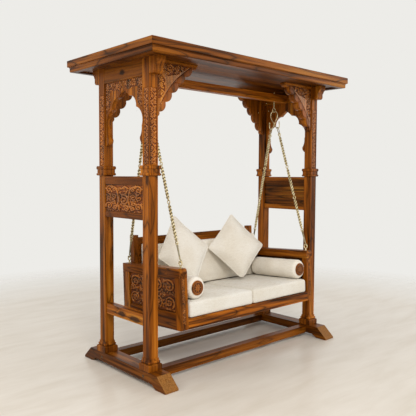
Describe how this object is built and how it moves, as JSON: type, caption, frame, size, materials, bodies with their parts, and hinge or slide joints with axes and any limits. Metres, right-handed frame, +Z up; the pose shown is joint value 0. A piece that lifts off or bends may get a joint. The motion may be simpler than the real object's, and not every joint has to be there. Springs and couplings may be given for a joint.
{
  "type": "jhoola swing",
  "caption": "free-standing carved wooden jhoola: canopy on four posts, cusped side arches, and a cushioned bench hung on brass chains",
  "frame": {"origin": "centre of the footprint, on the floor under the four foot pads", "axes": "+Z up, +X along the bench to the sitter's left as seen from the front, -Y the open front of the swing"},
  "size_m": [1.98, 0.99, 2.13],
  "materials": {
    "wood": "satin",
    "brass": "satin",
    "linen": "matte",
    "steel": "satin"
  },
  "bodies": {
    "stand": {"left_foot_beam": "wood", "right_foot_beam": "wood", "front_base_stretcher": "wood", "back_base_stretcher": "wood", "stretcher_bolts": "steel", "plinth_blocks": "wood", "front_left_post": "wood", "front_right_post": "wood", "back_left_post": "wood", "back_right_post": "wood", "lower_side_rails": "wood", "mid_side_rails": "wood", "side_carved_panels": "wood", "inner_panel_boards": "wood", "left_arch_panel": "wood", "right_arch_panel": "wood", "side_top_rails": "wood", "hanger_beam": "wood", "front_left_bracket": "wood", "front_right_bracket": "wood", "back_left_bracket": "wood", "back_right_bracket": "wood", "bracket_cap_boards": "wood", "corbels": "wood", "ceiling_boards": "wood", "roof_battens": "wood", "roof_top_boards": "wood", "canopy_mouldings": "wood", "frame_screws": "brass", "beam_eye_bolts": "brass"},
    "hooks": {"left_double_hook": "brass", "right_double_hook": "brass"},
    "left_chains": {"left_chain_end_links": "brass", "left_chain_rods": "brass", "left_chain_beads": "brass"},
    "right_chains": {"right_chain_end_links": "brass", "right_chain_rods": "brass", "right_chain_beads": "brass"},
    "bench": {"arm_eyes": "brass", "arm_stiles": "wood", "arm_top_rails": "wood", "arm_bottom_rails": "wood", "arm_panels": "wood", "front_seat_rail": "wood", "back_seat_rail": "wood", "seat_ledgers": "wood", "seat_slats": "wood", "back_stiles": "wood", "back_top_rail": "wood", "back_boards": "wood", "left_seat_cushion": "linen", "right_seat_cushion": "linen", "back_cushion": "linen", "left_bolster": "linen", "right_bolster": "linen", "bolster_end_discs": "wood"},
    "left_pillow_body": {"left_pillow": "linen"},
    "right_pillow_body": {"right_pillow": "linen"}
  },
  "joints": [
    {"name": "swing", "type": "hinge", "parent": "stand", "child": "hooks", "pos_m": [0, 0, 1.868], "axis": [1, 0, 0], "range_deg": [-22, 22]},
    {"name": "left_sway", "type": "hinge", "parent": "hooks", "child": "left_chains", "pos_m": [-0.655, -0.00779, 1.72822], "axis": [0, 0.9985, -0.0556], "range_deg": [-4, 4]},
    {"name": "right_sway", "type": "hinge", "parent": "hooks", "child": "right_chains", "pos_m": [0.655, -0.00779, 1.72822], "axis": [0, 0.9985, -0.0556], "range_deg": [-4, 4]},
    {"name": "bench_level", "type": "hinge", "parent": "left_chains", "child": "bench", "pos_m": [-0.655, -0.06143, 0.76571], "axis": [0, 0.9985, -0.0556], "range_deg": [-4, 4]},
    {"name": "left_pillow_lift", "type": "slide", "parent": "bench", "child": "left_pillow_body", "axis": [0, 0.0556, 0.9985], "range_m": [0, 0.35]},
    {"name": "right_pillow_lift", "type": "slide", "parent": "bench", "child": "right_pillow_body", "axis": [0, 0.0556, 0.9985], "range_m": [0, 0.35]}
  ],
  "couplings": [
    {"joint": "right_sway", "follows": "left_sway", "ratio": 1},
    {"joint": "bench_level", "follows": "left_sway", "ratio": -1}
  ]
}
